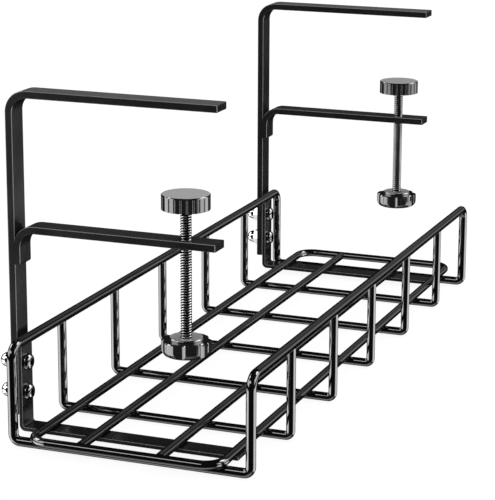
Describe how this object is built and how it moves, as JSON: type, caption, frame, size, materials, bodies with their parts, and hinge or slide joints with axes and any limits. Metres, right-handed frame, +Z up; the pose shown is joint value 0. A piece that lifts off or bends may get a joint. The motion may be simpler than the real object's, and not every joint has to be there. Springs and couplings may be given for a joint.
{
  "type": "clamp-on cable tray",
  "caption": "Black wire cable tray with screw clamps on flat-bar brackets, hung behind and under a desk top without drilling.",
  "frame": {"origin": "bottom centre of the overall box, on the plane the tray would rest on", "axes": "+X along the tray, +Y towards the back edge of the desk, where the straps hang, +Z up"},
  "size_m": [0.433, 0.1554, 0.189],
  "materials": {
    "black_wire": "gloss black powder coat",
    "black_bar": "satin black powder coat",
    "black_bolt": "gloss black plating",
    "chrome_nut": "bright plating",
    "dark_screw": "dark plated thread",
    "black_pad": "satin black moulding",
    "black_knob": "gloss black moulding",
    "dark_collar": "dark plated turned steel"
  },
  "bodies": {
    "tray": {"frame_wire": "black_wire", "cross_wire_1": "black_wire", "cross_wire_2": "black_wire", "cross_wire_3": "black_wire", "cross_wire_4": "black_wire", "cross_wire_5": "black_wire", "floor_loop_wire": "black_wire", "floor_wire_back": "black_wire", "floor_wire_front": "black_wire", "upper_bracket_near": "black_bar", "clamp_arm_near": "black_bar", "basket_bracket_near": "black_bar", "bracket_bolts_near": "black_bolt", "cap_nuts_near": "chrome_nut", "upper_bracket_far": "black_bar", "clamp_arm_far": "black_bar", "basket_bracket_far": "black_bar", "bracket_bolts_far": "black_bolt", "cap_nuts_far": "chrome_nut"},
    "pad_near": {"pressure_pad_near": "black_pad"},
    "screw_near": {"clamp_screw_near": "dark_screw", "hand_knob_near": "black_knob", "knob_collar_near": "dark_collar"},
    "pad_far": {"pressure_pad_far": "black_pad"},
    "screw_far": {"clamp_screw_far": "dark_screw", "hand_knob_far": "black_knob", "knob_collar_far": "dark_collar"}
  },
  "joints": [
    {"name": "pad_lift_near", "type": "slide", "parent": "tray", "child": "pad_near", "axis": [0, 0, 1], "range_m": [-0.0155, 0.0435]},
    {"name": "screw_turn_near", "type": "hinge", "parent": "pad_near", "child": "screw_near", "pos_m": [-0.18375, -0.0307, 0.117], "axis": [0, 0, 1], "range_deg": [-3986, 11186]},
    {"name": "pad_lift_far", "type": "slide", "parent": "tray", "child": "pad_far", "axis": [0, 0, 1], "range_m": [-0.0155, 0.0435]},
    {"name": "screw_turn_far", "type": "hinge", "parent": "pad_far", "child": "screw_far", "pos_m": [0.18375, -0.0307, 0.117], "axis": [0, 0, 1], "range_deg": [-3986, 11186]}
  ],
  "couplings": [
    {"joint": "screw_turn_near", "follows": "pad_lift_near", "rad_per_m": 4488},
    {"joint": "screw_turn_far", "follows": "pad_lift_far", "rad_per_m": 4488}
  ]
}
